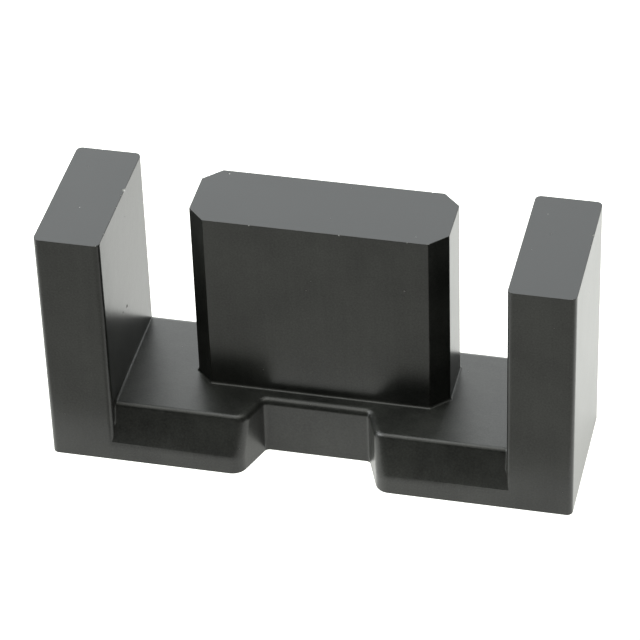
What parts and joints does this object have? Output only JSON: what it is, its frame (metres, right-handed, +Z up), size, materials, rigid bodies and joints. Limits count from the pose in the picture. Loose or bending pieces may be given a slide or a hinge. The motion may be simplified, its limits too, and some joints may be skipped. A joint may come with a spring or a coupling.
{
  "type": "ferrite e core",
  "caption": "E-shaped ferrite core half of the flat design: a notched yoke, outer legs and a wide, thin, eight-sided centre leg set towards the back.",
  "frame": {"origin": "middle of the base, under the centre of the core's outline", "axes": "+X across the legs, +Y from the notched front to the back face, +Z up the legs to the ground pole faces"},
  "size_m": [0.03, 0.0092, 0.015],
  "materials": {
    "ferrite": "as-fired satin skin with fine-ground pole faces"
  },
  "bodies": {
    "root": {"core": "ferrite"}
  },
  "joints": []
}
